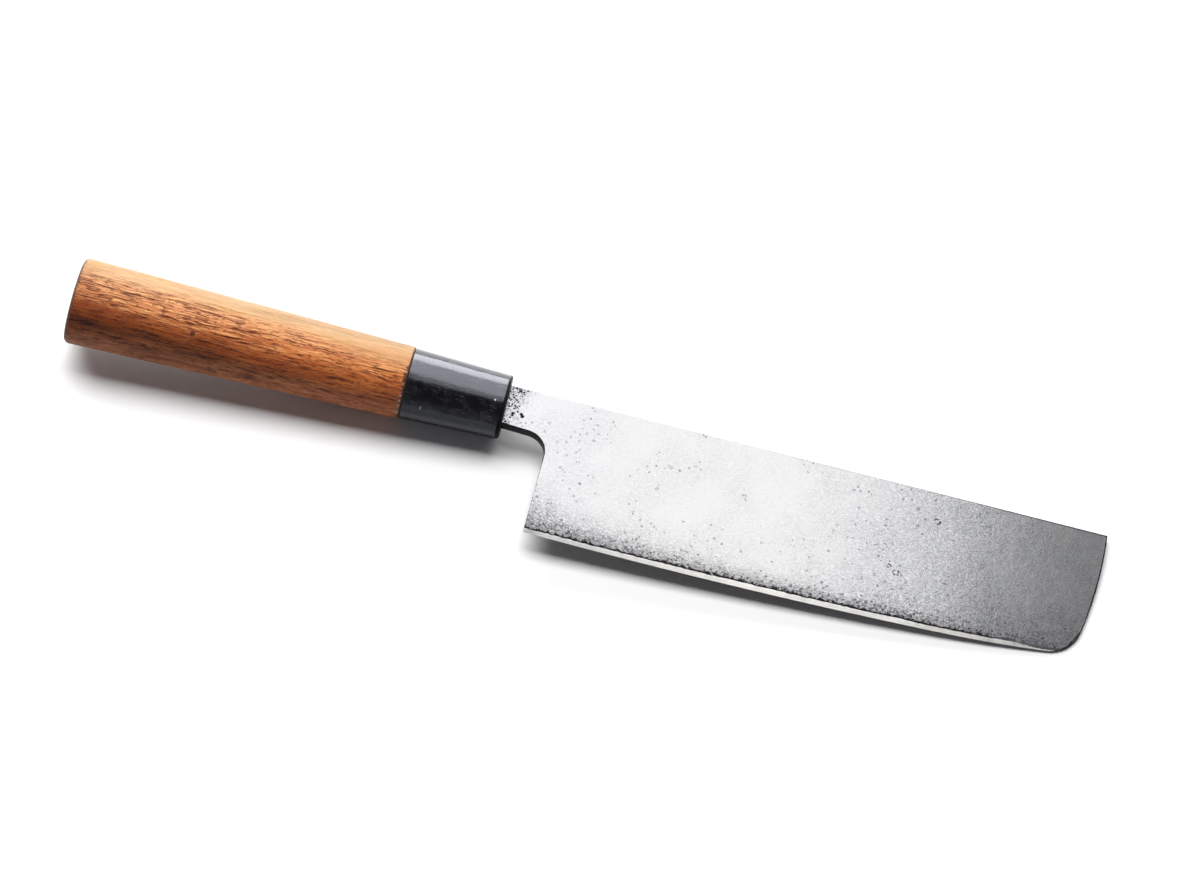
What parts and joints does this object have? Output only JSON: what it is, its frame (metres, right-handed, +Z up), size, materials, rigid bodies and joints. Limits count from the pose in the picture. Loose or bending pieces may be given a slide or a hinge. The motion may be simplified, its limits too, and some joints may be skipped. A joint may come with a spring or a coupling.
{
  "type": "nakiri knife",
  "caption": "Straight-spined vegetable knife with a tall square-ended laminated blade, a black oval ferrule and a tapering oval wooden grip on a hidden tang.",
  "frame": {"origin": "on the table under the middle of the bounding box, with the knife lying on its side as pictured", "axes": "+X along the knife from butt to tip, the cutting edge towards -Y and the spine towards +Y, +Z up from the table"},
  "size_m": [0.3101, 0.0518, 0.0251],
  "materials": {
    "core_steel": "polished",
    "cladding_steel": "satin",
    "black_ferrule": "gloss",
    "grip_wood": "satin",
    "dowel_wood": "matte",
    "resin": "gloss"
  },
  "bodies": {
    "root": {"core_steel": "core_steel", "cladding_upper": "cladding_steel", "cladding_lower": "cladding_steel", "ferrule": "black_ferrule", "grip": "grip_wood", "dowel": "dowel_wood", "tang_bedding": "resin"}
  },
  "joints": []
}
